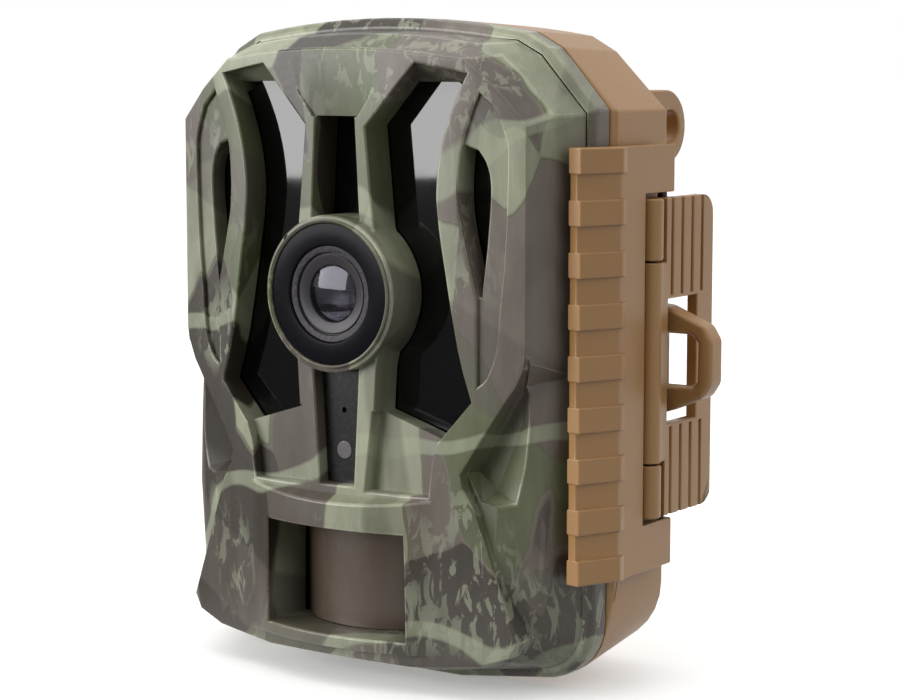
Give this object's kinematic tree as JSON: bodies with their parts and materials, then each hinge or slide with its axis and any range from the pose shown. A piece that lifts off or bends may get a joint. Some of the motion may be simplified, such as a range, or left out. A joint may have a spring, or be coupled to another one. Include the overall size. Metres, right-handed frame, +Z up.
{
  "type": "trail camera",
  "caption": "Clamshell trail camera with a skeleton bezel over a dark infrared window, round lens, motion sensor, side hinge and an over-centre latch with a padlock loop.",
  "frame": {"origin": "mouth of the tripod thread, in the middle of the base", "axes": "+X towards the latch side, -Y out of the lens, +Z up"},
  "size_m": [0.0941, 0.0508, 0.1047],
  "materials": {
    "camo": "satin printed camouflage",
    "tan": "satin",
    "black_gloss": "gloss",
    "black_matte": "matt",
    "grey_matte": "matt",
    "board": "solder mask",
    "glass": "coated",
    "led": "clear",
    "fresnel": "satin",
    "screen": "gloss",
    "steel": "plain",
    "brass": "plain",
    "seal": "matt",
    "cell": "printed sleeve"
  },
  "bodies": {
    "back": {"rear_shell": "tan", "ear_right": "tan", "ear_left": "tan", "padlock_loop": "tan", "tripod_insert": "brass", "battery_tray": "black_matte", "tray_screws": "steel", "cell_1": "cell", "cell_2": "cell", "cell_3": "cell", "cell_4": "cell", "spring_contacts": "steel", "plate_contacts": "steel", "gasket": "seal", "hinge_pin": "steel", "lever_pin": "steel"},
    "door": {"front_shell": "camo", "ir_window": "black_gloss", "sensor_tongue": "black_gloss", "led_board": "board", "ir_leds": "led", "lens_ring": "black_gloss", "lens_shroud": "grey_matte", "lens_glass": "glass", "lens_holder": "black_matte", "pir_lens": "fresnel", "pir_sensor": "steel", "mic": "steel", "light_pipe": "grey_matte", "main_board": "board", "lcd": "screen", "inner_panel": "black_matte", "panel_screws": "steel", "tact_switches": "steel", "sd_card": "black_matte", "sd_socket": "steel", "usb_socket": "steel"},
    "lever": {"lever": "tan", "hook_pins": "steel"},
    "hook": {"hook": "tan"},
    "up": {"btn_up": "grey_matte"},
    "down": {"btn_down": "grey_matte"},
    "left": {"btn_left": "grey_matte"},
    "right": {"btn_right": "grey_matte"},
    "ok": {"btn_ok": "grey_matte"},
    "mode": {"mode_switch": "grey_matte"}
  },
  "joints": [
    {"name": "door_hinge", "type": "hinge", "parent": "back", "child": "door", "pos_m": [-0.0419, -0.0063, 0.05], "axis": [0, 0, -1], "range_deg": [0, 105]},
    {"name": "lever_hinge", "type": "hinge", "parent": "back", "child": "lever", "pos_m": [0.0419, -0.003, 0.052], "axis": [0, 0, -1], "range_deg": [0, 110]},
    {"name": "hook_hinge", "type": "hinge", "parent": "lever", "child": "hook", "pos_m": [0.0414, 0.0014, 0.052], "axis": [0, 0, 1], "range_deg": [0, 126]},
    {"name": "press_up", "type": "slide", "parent": "door", "child": "up", "axis": [0, -1, 0], "range_m": [0, 0.0005], "stiffness_N_per_m": 800},
    {"name": "press_down", "type": "slide", "parent": "door", "child": "down", "axis": [0, -1, 0], "range_m": [0, 0.0005], "stiffness_N_per_m": 800},
    {"name": "press_left", "type": "slide", "parent": "door", "child": "left", "axis": [0, -1, 0], "range_m": [0, 0.0005], "stiffness_N_per_m": 800},
    {"name": "press_right", "type": "slide", "parent": "door", "child": "right", "axis": [0, -1, 0], "range_m": [0, 0.0005], "stiffness_N_per_m": 800},
    {"name": "press_ok", "type": "slide", "parent": "door", "child": "ok", "axis": [0, -1, 0], "range_m": [0, 0.0005], "stiffness_N_per_m": 800},
    {"name": "mode_slide", "type": "slide", "parent": "door", "child": "mode", "axis": [0, 0, 1], "range_m": [-0.002, 0.002]}
  ],
  "couplings": [
    {"joint": "hook_hinge", "follows": "lever_hinge", "ratio": 1.14}
  ]
}
